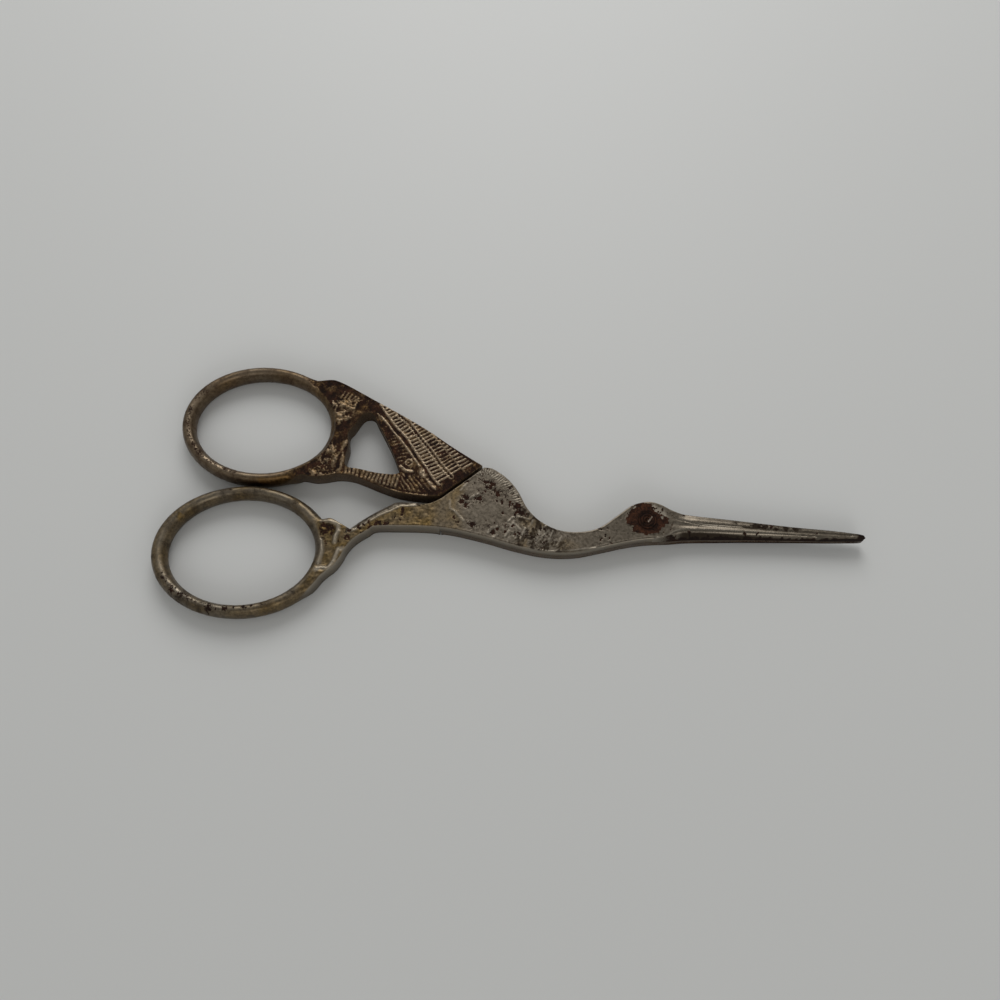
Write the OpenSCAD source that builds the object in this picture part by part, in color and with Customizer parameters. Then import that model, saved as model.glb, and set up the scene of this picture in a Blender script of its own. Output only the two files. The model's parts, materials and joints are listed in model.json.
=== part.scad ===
/* [Overall] */
// Length from the rings to the tip of the bill
overall_len = 100.8; // [92:0.1:124]
// Thickness of the rings, legs and wing
thickness = 3.2; // [2.4:0.1:4.2]

/* [Bird] */
// Distance from the pivot to the tip of the bill
bill_len = 31; // [25:0.1:38]
// Distance from the pivot back to the shoulder
body_len = 24; // [19:0.1:29]
// Stretch of the bird across its length, 1 as drawn
girth = 1; // [0.8:0.01:1.2]
// How far the pivot lies below the line where the rings meet
pivot_drop = 0.8; // [0:0.1:2]

/* [Finger rings] */
// Length of the opening of the ring on the winged half
back_hole_len = 20.2; // [16:0.1:25]
// Width of the opening of the ring on the winged half
back_hole_w = 15.7; // [12:0.1:19]
// Length of the opening of the ring on the front half
front_hole_len = 20.9; // [16:0.1:25]
// Width of the opening of the ring on the front half
front_hole_w = 16; // [12:0.1:19.5]
// Width of the ring wire along its sides
wire_w = 1.8; // [1.4:0.1:2.6]
// Width of the back ring's wire at its ends
back_end_w = 2; // [1.6:0.1:2.8]
// Width of the front ring's wire at its ends
front_end_w = 2.3; // [1.8:0.1:3.2]
// How far the back ring ends short of the front ring
back_ring_short = 0.3; // [0:0.1:1]
// Turn of the front ring, which hangs a little towards the leg
front_turn = 5; // [0:1:10]
// Gap between the two rings when the scissors are closed
ring_gap = 0.3; // [0.1:0.02:0.6]

/* [Blades] */
// Thickness of each blade at the tip
tip_t = 0.95; // [0.6:0.05:1.1]
// Distance from the pivot to where the blades start to thin
slope_from = 7; // [5:0.5:12]
// Flat that is left on each cutting edge
edge_flat = 0.15; // [0.05:0.01:0.3]
// Width of the groove along the bill
groove_w = 0.3; // [0.1:0.05:0.5]
// Depth of the groove along the bill
groove_depth = 0.2; // [0.1:0.05:0.4]

/* [Pivot] */
// Diameter of the screw shank
shank_d = 1.6; // [1.2:0.1:2.2]
// Diameter of the screw head
head_d = 2.6; // [2.2:0.1:3.8]
// Height of the screw head above the face
head_rise = 0.25; // [0.1:0.05:0.6]
// Depth of the flat seat that the screw head lies in
seat_depth = 0.5; // [0.35:0.05:0.8]
// Width of the slot in the screw head
slot_w = 0.4; // [0.2:0.05:0.6]
// Depth of the slot in the screw head
slot_depth = 0.3; // [0.1:0.05:0.4]
// Gap around the shank in the front half
shank_gap = 0.04; // [0.02:0.01:0.08]

/* [Fits] */
// Gap between the two blades
blade_gap = 0.04; // [0.02:0.01:0.1]
// Groove between the wing and the body
seam_gap = 0.4; // [0.3:0.05:0.8]
// Gap at the round step where the blades pass the legs
step_gap = 0.15; // [0.1:0.05:0.4]

/* [Plumage] */
// Height of the feather lines over the wing
plume_h = 0.2; // [0.1:0.05:0.4]
// Width of the feather lines
plume_w = 0.3; // [0.2:0.05:0.5]
// Number of barbs in each row of the wing
barbs = 16; // [8:1:20]
// Number of rings on the leg of the winged half
leg_rings = 12; // [5:1:16]

/* [Hidden] */

// Steps of each curve between two of its points, and round a ring
curve_steps = 5;
ring_steps = 60;

// Facets of the screw, and of the round step
round_fn = 48;
step_fn = 180;

// Thickness of each blade, and height at which the upper one starts
layer_t = (thickness - blade_gap) / 2;
step_z = thickness - layer_t;

half_len = overall_len / 2;
pivot_x = half_len - bill_len;
pivot_y = -pivot_drop;

// Half sizes of the rings inside and outside, and where their middles lie
back_in = [back_hole_len / 2, back_hole_w / 2];
back_out = back_in + [back_end_w, wire_w];
front_in = [front_hole_len / 2, front_hole_w / 2];
front_out = front_in + [front_end_w, wire_w];
front_reach = reach(front_out, front_turn);
back_ring_at = [-half_len + back_ring_short + back_out.x, ring_gap / 2 + back_out.y];
front_ring_at = [-half_len + front_reach.x, -ring_gap / 2 - front_reach.y];

// Middle of the width, which the part's frame starts from
mid_y = (back_out.y - front_reach.y + back_ring_at.y + front_ring_at.y) / 2;

// The outlines below are drawn for these sizes, and stretch to others
drawn_bill = 31;
drawn_body = 24;
drawn_legs = 21.3;
drawn_turn = 5;
drawn_front_ring = [12.75, 9.8];
drawn_back_ring = [12.1, 9.65];

// Length of the legs, from the shoulder back to the ring
leg_len = pivot_x - body_len - back_ring_at.x - back_out.x;

// Radius of the step round the pivot where the lower blade ends
drawn_step = 29.6;
step_r = -stretch(-drawn_step);

// Each blade has a bevel, from a ridge near its middle down to an edge
ridge_line = from_pivot([[5.8, -0.75], [33, 0.25]]);
cut_line = from_pivot([[3.4, -2.5], [33, 0.2]]);
far_ridge_line = from_pivot([[5.8, -0.4], [33, 0.4]]);
far_cut_line = from_pivot([[3.8, 1.95], [33, 0.7]]);

// Half extents of an oval of half sizes r that is turned by a degrees
function reach(r, a) = [
    sqrt(pow(r.x * cos(a), 2) + pow(r.y * sin(a), 2)),
    sqrt(pow(r.x * sin(a), 2) + pow(r.y * cos(a), 2))
];

// Point at angle a on an oval of half sizes r, turned by t and moved to c
function oval_point(r, a, t = 0, c = [0, 0]) =
    let (x = r.x * cos(a), y = r.y * sin(a))
    [c.x + x * cos(t) - y * sin(t), c.y + x * sin(t) + y * cos(t)];

// Outline of that oval
function oval(r, t = 0, c = [0, 0]) =
    [for (i = [0 : ring_steps - 1]) oval_point(r, 360 * i / ring_steps, t, c)];

// Point of a smooth curve between p1 and p2, at share t
function bend(p0, p1, p2, p3, t) =
    0.5 * (2 * p1 + (p2 - p0) * t + (2 * p0 - 5 * p1 + 4 * p2 - p3) * t * t
    + (3 * p1 - p0 - 3 * p2 + p3) * t * t * t);

// Smooth open curve through the points
function curve(p) = let (last = len(p) - 1) [
    for (i = [0 : last - 1], s = [0 : curve_steps - 1])
        bend(p[max(i - 1, 0)], p[i], p[i + 1], p[min(i + 2, last)], s / curve_steps),
    p[last]
];

// Smooth closed curve through the points
function loop(p) = let (n = len(p)) [
    for (i = [0 : n - 1], s = [0 : curve_steps - 1])
        bend(p[(i + n - 1) % n], p[i], p[(i + 1) % n], p[(i + 2) % n], s / curve_steps)
];

// Distance along the bird from the pivot, stretched over the bill, the body and the legs
function stretch(x) =
    x > 0 ? x * bill_len / drawn_bill
    : x > -drawn_body ? x * body_len / drawn_body
    : (x + drawn_body) * leg_len / drawn_legs - body_len;

// Places of points that are drawn from the pivot
function from_pivot(p) = [for (q = p) [pivot_x + stretch(q.x), pivot_y + q.y * girth]];

// Places of points that are drawn from the middle of a ring, which is turned by t
function from_ring(at, r, drawn, t, p) = [
    for (q = p) let (x = q.x * r.x / drawn.x, y = q.y * r.y / drawn.y)
        [at.x + x * cos(t) - y * sin(t), at.y + x * sin(t) + y * cos(t)]
];
function from_front_ring(p) =
    from_ring(front_ring_at, front_out, drawn_front_ring, front_turn - drawn_turn, p);
function from_back_ring(p) = from_ring(back_ring_at, back_out, drawn_back_ring, 0, p);

// The bird's back, from the shoulder over neck and head to the bill's tip
bird_top = from_pivot([
    [-23.9, 6.2], [-22.6, 6.1], [-20.5, 4.85], [-18.7, 2.95], [-17.1, 0.35], [-15, -1.5],
    [-12.3, -2.55], [-9.4, -2.55], [-6.7, -1.65], [-4.2, 0.45], [-2.2, 2.15], [0, 2.9],
    [1.8, 2.65], [3.8, 1.75], [6.2, 1.35], [16, 1.05], [27.5, 0.8], [30.2, 0.72], [30.8, 0.62]
]);

// The bird's front, from the tip back under the head and along the belly
bird_low = from_pivot([
    [31, 0.4], [30.6, 0.1], [27.5, -0.15], [20.5, -0.75], [12.3, -1.35], [5.9, -2],
    [3.4, -2.4], [0, -2.85], [-3.1, -3.6], [-6.4, -4.65], [-10.1, -5.7], [-14.2, -5.95],
    [-18.5, -5.4], [-22.8, -4.5], [-27.6, -3.75], [-31.3, -3.65], [-34.7, -3.85]
]);

// Seam between body and wing, from the leg up to the shoulder
seam = from_pivot([[-29.6, 0.9], [-27.1, 3.2], [-23.9, 6.2]]);
seam_way = (seam[2] - seam[0]) / norm(seam[2] - seam[0]);
wing_seam = [for (q = seam) q + [-seam_way.y, seam_way.x] * seam_gap];

// Upper edge of the front leg, from the claw's notch to the seam
leg_top = concat(
    from_front_ring([[15.1, 4.25]]),
    from_pivot([
        [-40.3, -3.4], [-38.6, -2.1], [-36.8, -0.9], [-35.8, -0.35], [-33.6, -0.2],
        [-31.7, -0.15], [-30.7, 0.2]
    ]),
    [seam[0]]
);

// Front claw along the ring, below and above the leg
claw_low = concat(
    from_pivot([[-38.4, -4.2]]),
    from_front_ring([
        [17.5, 4.2], [15.8, 2.8], [14.8, 1.3], [14.3, 0], [13.5, -1.4], [12.5, -2.4],
        [11.2, -3.9], [9.1, -6.1], [7.6, -6.9]
    ])
);
claw_top = from_front_ring([[6.6, 7.6], [8.7, 7], [10, 6], [10.9, 5.6], [12, 5.8], [13.4, 5.1]]);

// Middle of the ring wire, where the flat parts end inside the wire
front_mid = (front_in + front_out) / 2;
back_mid = (back_in + back_out) / 2;

front_outline = concat(
    curve(concat(bird_low, claw_low)),
    curve(concat(claw_top, [leg_top[0]])),
    curve(leg_top),
    [seam[1]],
    curve(bird_top)
);

// Upper edge of the wing, from the ring to the shoulder
wing_top = concat(
    from_back_ring([[4.6, 7.6], [5.9, 8.1], [7.4, 7.75], [9.2, 8], [10.2, 7.9], [12.2, 7.1]]),
    from_pivot([[-40.9, 15.6], [-36.8, 13.6], [-32.8, 11.5], [-28.6, 8.95]]),
    [wing_seam[2]]
);

// Under edge of the wing and its leg, from the seam back to the ring
wing_low = concat(
    [wing_seam[0]],
    from_pivot([
        [-30.8, 1.15], [-32, 1.0], [-34, 1.05], [-36.2, 1.3], [-38.8, 2], [-41, 2.75], [-43, 3.3]
    ]),
    from_back_ring([[12.4, -7.25], [10.6, -7.7], [9, -7.95], [7.2, -7.8], [5.6, -8.1], [4.2, -8]])
);

// Opening of the frame between the wing, its leg and the ring
frame_hole = concat(
    from_back_ring([
        [13.1, -4.5], [13.3, -2.6], [13, -0.6], [13.7, 0.7], [14.6, 2.5], [15.4, 3], [16.3, 2.8]
    ]),
    from_pivot([
        [-40.4, 12.3], [-38.4, 9.1], [-37.3, 7.1], [-36.2, 4.8], [-36.3, 4.2], [-37.2, 4.0],
        [-39.4, 4.05], [-42, 4.45], [-43.9, 4.7]
    ])
);

// Part of the lower blade that reaches across the seam to the wing
bridge = from_pivot([[-23.9, 5.9], [-25.2, 6.1], [-29.9, 1.7], [-30.2, -2], [-29, -3], [-18, -4]]);

// Section of the ring wire, as shares from the opening out and up, with a crest on each face
wire_section = [
    [0, 0.34], [0, 0.66], [0.4, 1], [0.6, 1], [1, 0.68], [1, 0.32], [0.6, 0], [0.4, 0]
];

// Point of that section, between the ovals of the opening and the outside, at angle a
function wire_point(inner, outer, a, t, c, s) =
    let (
        p = oval_point(inner, a, t, c),
        q = oval_point(outer, a, t, c)
    )
    [p.x + (q.x - p.x) * s[0], p.y + (q.y - p.y) * s[0], s[1] * thickness];

module ring_wire(inner, outer, t, c) {
    n = len(wire_section);
    points = [
        for (i = [0 : ring_steps - 1], s = wire_section)
            wire_point(inner, outer, 360 * i / ring_steps, t, c, s)
    ];
    faces = [
        for (i = [0 : ring_steps - 1], k = [0 : n - 1])
            let (j = (i + 1) % ring_steps, m = (k + 1) % n)
            each [[i * n + k, j * n + m, i * n + m], [i * n + k, j * n + k, j * n + m]]
    ];
    polyhedron(points, faces);
}

// Wedge that leaves a blade's bevel, from the ridge out to the edge
module bevel(ridge, edge, top_z, edge_z) {
    over = 3;
    side = sign(edge[0].y - ridge[0].y);
    up = sign(top_z - edge_z);
    sections = [
        for (i = [0, 1]) each [
            [ridge[i].x, ridge[i].y, top_z], [edge[i].x, edge[i].y, edge_z],
            [edge[i].x, edge[i].y + side * over, edge_z],
            [edge[i].x, edge[i].y + side * over, top_z + up * over],
            [ridge[i].x, ridge[i].y, top_z + up * over]
        ]
    ];
    hull() polyhedron(sections, [[0, 1, 2, 3, 4], [9, 8, 7, 6, 5], for (i = [0 : 4])
        [i, i + 5, (i + 1) % 5 + 5, (i + 1) % 5]]);
}

// Slope that thins a blade towards its tip, on the side that up points to
module tip_slope(face_z, up) {
    over = 4;
    low_z = face_z - up * (layer_t - tip_t);
    high_z = face_z + up * over;
    translate([0, pivot_y + over, 0]) rotate([90, 0, 0]) linear_extrude(2 * over) polygon([
        [pivot_x + slope_from, face_z], [half_len, low_z], [half_len + over, low_z],
        [half_len + over, high_z], [pivot_x + slope_from, high_z]
    ]);
}

// Plan of the lower layer: round the pivot up to the step, and the whole bill
module lower_zone(r) {
    bill_room = 10;
    translate([pivot_x, pivot_y]) union() {
        circle(r = r, $fn = step_fn);
        translate([0, -bill_room]) square([bill_len + bill_room, 2 * bill_room]);
    }
}

// Groove of the bill, which the mouth of the bird follows
module bill_groove() {
    p = from_pivot([[4, 0.4], [9, 0.1], [15, -0.02]]);
    translate([0, 0, thickness - groove_depth]) linear_extrude(1) polygon(concat(
        [for (q = p) q], [for (i = [2 : -1 : 0]) [p[i].x, p[i].y - groove_w]]
    ));
}

module front_half() {
    color([0.48, 0.45, 0.4]) translate([0, -mid_y, 0]) difference() {
        union() {
            linear_extrude(thickness) difference() {
                polygon(front_outline);
                polygon(oval(front_mid, front_turn, front_ring_at));
            }
            ring_wire(front_in, front_out, front_turn, front_ring_at);
        }
        translate([0, 0, -1]) linear_extrude(1 + step_z) lower_zone(step_r);
        translate([pivot_x, pivot_y, 0])
            cylinder(h = thickness + 1, d = shank_d + 2 * shank_gap, $fn = round_fn);
        translate([pivot_x, pivot_y, thickness - seat_depth])
            cylinder(h = seat_depth + 1, d = head_d + 2 * shank_gap, $fn = round_fn);
        bevel(ridge_line, cut_line, thickness, step_z + edge_flat);
        tip_slope(thickness, 1);
        bill_groove();
    }
}

// Lines between the rows of feathers, from the frame down to the seam
rows = [
    from_pivot([[-40.4, 13.7], [-37.4, 10.7], [-35.1, 8], [-33.1, 5.5], [-31.1, 2.9]]),
    from_pivot([[-40, 14.6], [-38.4, 12.5], [-36.2, 10], [-34, 7.4], [-31.6, 4.2], [-30.3, 2.6]]),
    from_pivot([[-37, 13.3], [-34.9, 11.4], [-33.1, 9.2], [-31, 6.9], [-28.8, 4.6]]),
    from_pivot([[-32.7, 10.7], [-30.4, 8.4], [-28.8, 6.7], [-27, 5.2]])
];
wing_rim = from_pivot([[-32.2, 10.8], [-28.8, 8.7], [-25.6, 6.6], [-26.6, 5.6]]);

// Lines between which the rings round the leg lie
leg_under = from_pivot([[-43.6, 3.5], [-39, 2.4], [-34.5, 1.5], [-31.5, 1.7]]);
leg_over = from_pivot([[-43.2, 4.4], [-39, 3.8], [-34.5, 4.4], [-32.6, 4]]);

// Point at share t along a line of points
function along(p, t) = let (n = len(p) - 1, i = min(floor(t * n), n - 1), s = t * n - i)
    p[i] * (1 - s) + p[i + 1] * s;

// Outline of a feather line between two points
module strip(a, b) {
    d = (b - a) / norm(b - a) * plume_w / 2;
    polygon([
        [a.x - d.y, a.y + d.x], [b.x - d.y, b.y + d.x],
        [b.x + d.y, b.y - d.x], [a.x + d.y, a.y - d.x]
    ]);
}

module row_line(p) {
    for (i = [0 : len(p) - 2]) strip(p[i], p[i + 1]);
}

// Slanting barbs that fill the row between two lines
module row_barbs(p, q) {
    slant = 30;
    barb_len = 12;
    first = p[0];
    last = p[len(p) - 1];
    intersection() {
        polygon(concat(p, [for (i = [len(q) - 1 : -1 : 0]) q[i]]));
        for (i = [1 : barbs])
            translate(first + (last - first) * i / (barbs + 0.5)) rotate(slant)
                translate([-barb_len / 2, 0]) square([barb_len, plume_w]);
    }
}

module plumage() {
    for (p = rows) row_line(p);
    row_barbs(rows[1], rows[2]);
    row_barbs(rows[2], rows[3]);
    row_barbs(rows[3], wing_rim);
    for (i = [0 : leg_rings - 1])
        strip(along(leg_under, i / leg_rings), along(leg_over, i / leg_rings));
}

module back_half() {
    color([0.36, 0.27, 0.19]) translate([0, -mid_y, 0]) difference() {
        union() {
            linear_extrude(thickness - plume_h) difference() {
                polygon(concat(curve(wing_top), [wing_seam[1]], curve(wing_low)));
                polygon(loop(frame_hole));
                polygon(oval(back_mid, 0, back_ring_at));
            }
            translate([0, 0, thickness - 2 * plume_h]) linear_extrude(2 * plume_h) plumage();
            linear_extrude(layer_t) intersection() {
                union() {
                    polygon(concat(curve(bird_low), curve(bird_top)));
                    polygon(bridge);
                }
                lower_zone(step_r - step_gap);
            }
            ring_wire(back_in, back_out, 0, back_ring_at);
        }
        translate([pivot_x, pivot_y, -1])
            cylinder(h = thickness, d = shank_d, $fn = round_fn);
        bevel(far_ridge_line, far_cut_line, 0, layer_t - edge_flat);
        tip_slope(0, -1);
    }
}

module pivot_screw() {
    slot_turn = 60;
    head_t = seat_depth - blade_gap + head_rise;
    color([0.25, 0.16, 0.1]) translate([pivot_x, pivot_y - mid_y, 0]) difference() {
        union() {
            cylinder(h = thickness, d = shank_d, $fn = round_fn);
            translate([0, 0, thickness + head_rise - head_t])
                cylinder(h = head_t, d = head_d, $fn = round_fn);
        }
        translate([0, 0, thickness + head_rise - slot_depth]) rotate(slot_turn)
            translate([-head_d, -slot_w / 2, 0]) cube([2 * head_d, slot_w, 2 * slot_depth]);
    }
}

front_half();
back_half();
pivot_screw();
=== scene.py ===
import functools
import json
import math

import bmesh
import bpy
import numpy as np
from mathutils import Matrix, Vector, kdtree
from mathutils.geometry import delaunay_2d_cdt


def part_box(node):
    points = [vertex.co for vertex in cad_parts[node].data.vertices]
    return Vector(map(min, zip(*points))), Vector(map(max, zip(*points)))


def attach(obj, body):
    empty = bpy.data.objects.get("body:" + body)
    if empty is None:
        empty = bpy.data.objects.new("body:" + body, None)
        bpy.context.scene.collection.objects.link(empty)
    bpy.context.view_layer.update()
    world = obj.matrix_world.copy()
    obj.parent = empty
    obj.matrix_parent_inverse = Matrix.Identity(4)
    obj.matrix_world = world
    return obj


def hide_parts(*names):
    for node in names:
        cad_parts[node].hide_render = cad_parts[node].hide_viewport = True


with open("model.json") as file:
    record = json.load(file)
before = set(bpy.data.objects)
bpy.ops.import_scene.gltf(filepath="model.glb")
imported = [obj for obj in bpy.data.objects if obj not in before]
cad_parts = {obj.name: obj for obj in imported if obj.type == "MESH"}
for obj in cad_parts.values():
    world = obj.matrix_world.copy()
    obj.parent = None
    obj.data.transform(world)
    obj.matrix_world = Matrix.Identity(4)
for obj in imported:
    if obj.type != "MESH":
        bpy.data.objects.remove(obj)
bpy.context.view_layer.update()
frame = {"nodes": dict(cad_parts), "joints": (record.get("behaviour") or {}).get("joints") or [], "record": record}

# Measures of the frame, in mm, which all shapes below are worked out from

MM = 0.001


def in_mm(point):
    return np.array(point, float) / MM


MOUNTS = {mount["name"]: in_mm(mount["pos_m"]) for mount in frame["record"]["mounts"]}
PIVOT = in_mm(frame["joints"][0]["pos_m"])[:2]
BACK_RING = MOUNTS["finger_loop_back"][:2]
FRONT_RING = MOUNTS["finger_loop_front"][:2]
THICK = in_mm(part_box("front_half")[1])[2]
TIP_X = in_mm(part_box("front_half")[1])[0]
MID_Z = THICK / 2
BLADE_GAP = 0.04
LOWER_TOP = MID_Z - BLADE_GAP / 2
UPPER_BOTTOM = MID_Z + BLADE_GAP / 2
EDGE_FLAT = 0.15

# Half sizes of the two ring openings and of the wire round them, in mm
BACK_IN = np.array([10.1, 7.85])
BACK_OUT = np.array([12.1, 9.65])
FRONT_IN = np.array([10.45, 8.0])
FRONT_OUT = np.array([12.75, 9.8])
FRONT_TURN = math.radians(5)

# Pivot, step and heights of the cuts that give the outlines, in mm
UPPER_CUT = 1.7
LOWER_CUT = 1.5
BORE_R = 0.84
SEAT_R = 1.34
SEAT_DEPTH = 0.5
FRONT_STEP_R = 29.6
TIP_SLOPE_FROM = 7
TIP_DROP = 0.63


# Numeric helpers that work on many points at once


def unit(value):
    return np.clip(value, 0, 1)


def norm(ways):
    """Length of one way, or of each row of ways."""
    return np.hypot(*ways.T)


def left_of(ways):
    """Ways of length 1 at a right angle to the left of each way."""
    return np.c_[-ways[:, 1], ways[:, 0]] / norm(ways)[:, None]


def turns(count):
    """Angles in equal steps once round."""
    return np.arange(count) * 2 * math.pi / count


def rise(low, high, value):
    """0 up to low and 1 from high on, with a smooth step between."""
    share = unit((value - low) / (high - low))
    return share * share * (3 - 2 * share)


def fall(low, high, value):
    """1 up to low and 0 from high on."""
    return 1 - rise(low, high, value)


def window(low, high, soft, value):
    """1 between low and high and 0 outside, with soft ends."""
    return rise(low - soft, low + soft, value) * fall(high - soft, high + soft, value)


def mix(a, b, share):
    return a + (b - a) * share


def bump(distance, width):
    """1 at distance 0, falling smoothly to 0 at width."""
    return fall(0, width, np.abs(distance))


def most(*values):
    """The largest of several values, point by point."""
    return functools.reduce(np.maximum, values)


NOISE_CELLS = 64


def noise(points, size, seed):
    """Smooth noise from -1 to 1 over the plan, with features of that size in mm."""
    grid = np.random.default_rng(seed).uniform(-1, 1, (NOISE_CELLS, NOISE_CELLS))
    at = points.T / size + 1000
    cell = np.floor(at).astype(int)
    x, y = rise(0, 1, at - cell)
    x0, y0 = cell % NOISE_CELLS
    x1, y1 = (cell + 1) % NOISE_CELLS
    return mix(mix(grid[x0, y0], grid[x1, y0], x), mix(grid[x0, y1], grid[x1, y1], x), y)


def line_place(points, line):
    """Distance of each point to a line of points, length along it, and side (1 is left)."""
    line = np.array(line, float)
    best = np.full(len(points), 1e9)
    along = np.zeros(len(points))
    side = np.ones(len(points))
    start = 0
    for a, b in zip(line[:-1], line[1:]):
        way = b - a
        length = norm(way)
        offset = points - a
        share = unit(offset @ way / length ** 2)
        gap = norm(offset - share[:, None] * way)
        nearer = gap < best
        best = np.where(nearer, gap, best)
        along = np.where(nearer, start + share * length, along)
        cross = way[0] * offset[:, 1] - way[1] * offset[:, 0]
        side = np.where(nearer, np.sign(cross), side)
        start += length
    return best, along, side


def inside(points, loop):
    """True for each point that lies inside a closed loop of points."""
    result = np.zeros(len(points), bool)
    x, y = points[:, 0], points[:, 1]
    for a, b in zip(loop, np.roll(loop, -1, axis=0)):
        crosses = (a[1] > y) != (b[1] > y)
        if a[1] != b[1]:
            result ^= crosses & (x < (b[0] - a[0]) * (y - a[1]) / (b[1] - a[1]) + a[0])
    return result


def within(points, loops):
    """True for each point inside the first loop and outside the holes after it."""
    result = inside(points, loops[0])
    for hole in loops[1:]:
        result &= ~inside(points, hole)
    return result


def plan_tree(points):
    """Search tree over points of the plan."""
    tree = kdtree.KDTree(len(points))
    for index, (x, y) in enumerate(points):
        tree.insert((x, y, 0), index)
    tree.balance()
    return tree


# Masks of a finish, which the metal's material reads, and objects

# The third mask darkens for dirt and for painted shade. The fourth lightens for worn plating and for painted
# highlights.
MASKS = ("rust", "tint", "deep", "wear_and_sheen", "polish")


def named(*values):
    return dict(zip(MASKS, values))


def merge(low, high, weight):
    return {name: mix(low[name], high[name], weight) for name in high}


def lift(masks, **least):
    for name, values in least.items():
        masks[name] = most(masks[name], values)


def dim(masks, share, *names):
    for name in names:
        masks[name] = masks[name] * share


def store(mesh, masks):
    for name, values in masks.items():
        layer = mesh.attributes.new(name, "FLOAT", "POINT")
        layer.data.foreach_set("value", values.astype(np.float32))


def add_object(name, data):
    thing = bpy.data.objects.new(name, data)
    bpy.context.scene.collection.objects.link(thing)
    return thing


# Plan outlines, cut from the CAD nodes


def section(node, height):
    """Closed loops of the CAD node's outline at that height, in mm."""
    mesh = bmesh.new()
    mesh.from_mesh(frame["nodes"][node].data)
    bmesh.ops.remove_doubles(mesh, verts=mesh.verts, dist=1e-7)
    cut = bmesh.ops.bisect_plane(
        mesh, geom=mesh.verts[:] + mesh.edges[:] + mesh.faces[:], dist=1e-8,
        plane_co=(0, 0, height * MM), plane_no=(0, 0, 1))
    edges = [e for e in cut["geom_cut"] if isinstance(e, bmesh.types.BMEdge)]
    ways = {}
    for edge in edges:
        for vert in edge.verts:
            ways.setdefault(vert, []).append(edge)
    loops = []
    left = set(edges)
    while left:
        edge = left.pop()
        start, vert = edge.verts
        loop = [start, vert]
        while vert is not start:
            onward = [e for e in ways[vert] if e in left]
            if not onward:
                break
            left.discard(onward[0])
            vert = onward[0].other_vert(vert)
            loop.append(vert)
        loops.append(np.array([v.co.xy for v in loop[:-1]]) / MM)
    mesh.free()
    return [loop for loop in loops if len(loop) > 2]


def finer(loop, step):
    """The loop with points added so that none is further than step from the next."""
    points = []
    for a, b in zip(loop, np.roll(loop, -1, axis=0)):
        count = max(1, math.ceil(norm(b - a) / step))
        points += [mix(a, b, i / count) for i in range(count)]
    return np.array(points)


def arc(radius, angles):
    """Points at those angles round the pivot."""
    return PIVOT + radius * np.c_[np.cos(angles), np.sin(angles)]


class Rim:
    """The outline loops of a shape, which gives the distance from any point to them."""

    def __init__(self, loops):
        self.a = np.concatenate(loops)
        self.b = np.concatenate([np.roll(loop, -1, axis=0) for loop in loops])
        self.before = np.concatenate([np.roll(loop, 1, axis=0) for loop in loops])
        self.tree = plan_tree(self.a)

    def distance(self, points):
        nearest = np.array([self.tree.find((x, y, 0))[1] for x, y in points], int)
        best = np.full(len(points), 1e9)
        for start, end in ((self.before, self.a), (self.a, self.b)):
            a, way = start[nearest], (end - start)[nearest]
            length = most((way ** 2).sum(1), 1e-12)
            share = unit(((points - a) * way).sum(1) / length)
            best = np.minimum(best, norm(points - a - share[:, None] * way))
        return best


# Plan triangles and closed solids


RIM_STEPS = (0.03, 0.09, 0.18, 0.3)
RIM_SPACING = 0.16
NEAREST_POINTS = 0.02
WIRE_SHARES = (0.18, 0.26, 0.34, 0.42, 0.5, 0.58, 0.66, 0.74, 0.82)
WIRE_TURNS = 560
SEAT_TURNS = 60
SHARP_DEGREES = 38


def oriented(loops):
    """Subdivided loops, the largest anticlockwise and its holes clockwise."""
    result = []
    for rank, loop in enumerate(sorted(loops, key=lambda l: -np.ptp(l, axis=0).prod())):
        x, y = loop.T
        area = (x * np.roll(y, -1) - np.roll(x, -1) * y).sum()
        if (area > 0) != (rank == 0):
            loop = loop[::-1]
        loop = loop[norm(loop - np.roll(loop, 1, axis=0)) > NEAREST_POINTS]
        result.append(finer(loop, RIM_SPACING))
    return result


def rim_rows(loops, rim):
    """Points in rows along the inside of each loop, for a smooth rounded edge."""
    rows = []
    for loop in loops:
        way = np.roll(loop, -1, axis=0) - np.roll(loop, 1, axis=0)
        inward = left_of(way)
        for step in RIM_STEPS:
            row = loop + inward * step
            rows.append(row[rim.distance(row) > 0.9 * step])
    return np.concatenate(rows)


def honeycomb(low, high, spacing):
    x, y = np.meshgrid(np.arange(low[0], high[0], spacing),
                       np.arange(low[1], high[1], spacing * math.sqrt(3) / 2))
    x[1::2] += spacing / 2
    return np.c_[x.ravel(), y.ravel()]


def triangulate(closed, open_lines, loose):
    """Points and triangles over the plan that keep every loop and line as edges."""
    points, edges = [], []
    for line, ends in [(c, 0) for c in closed] + [(o, 1) for o in open_lines]:
        start, count = len(points), len(line)
        points += [Vector(p) for p in line]
        edges += [(start + i, start + (i + 1) % count) for i in range(count - ends)]
    points += [Vector(p) for p in loose]
    found = delaunay_2d_cdt(points, edges, [], 0, 1e-6)
    return np.array([v[:] for v in found[0]]), np.array(found[2])


def drop_slivers(region, plan, triangles, away):
    """Leaves out flat triangles that only join points of the outline."""
    a, b, c = plan[triangles].transpose(1, 0, 2)
    area = np.abs((b - a)[:, 0] * (c - a)[:, 1] - (b - a)[:, 1] * (c - a)[:, 0]) / 2
    region[(area < 1e-3) & (away[triangles].max(1) < 1e-4)] = -1


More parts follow.
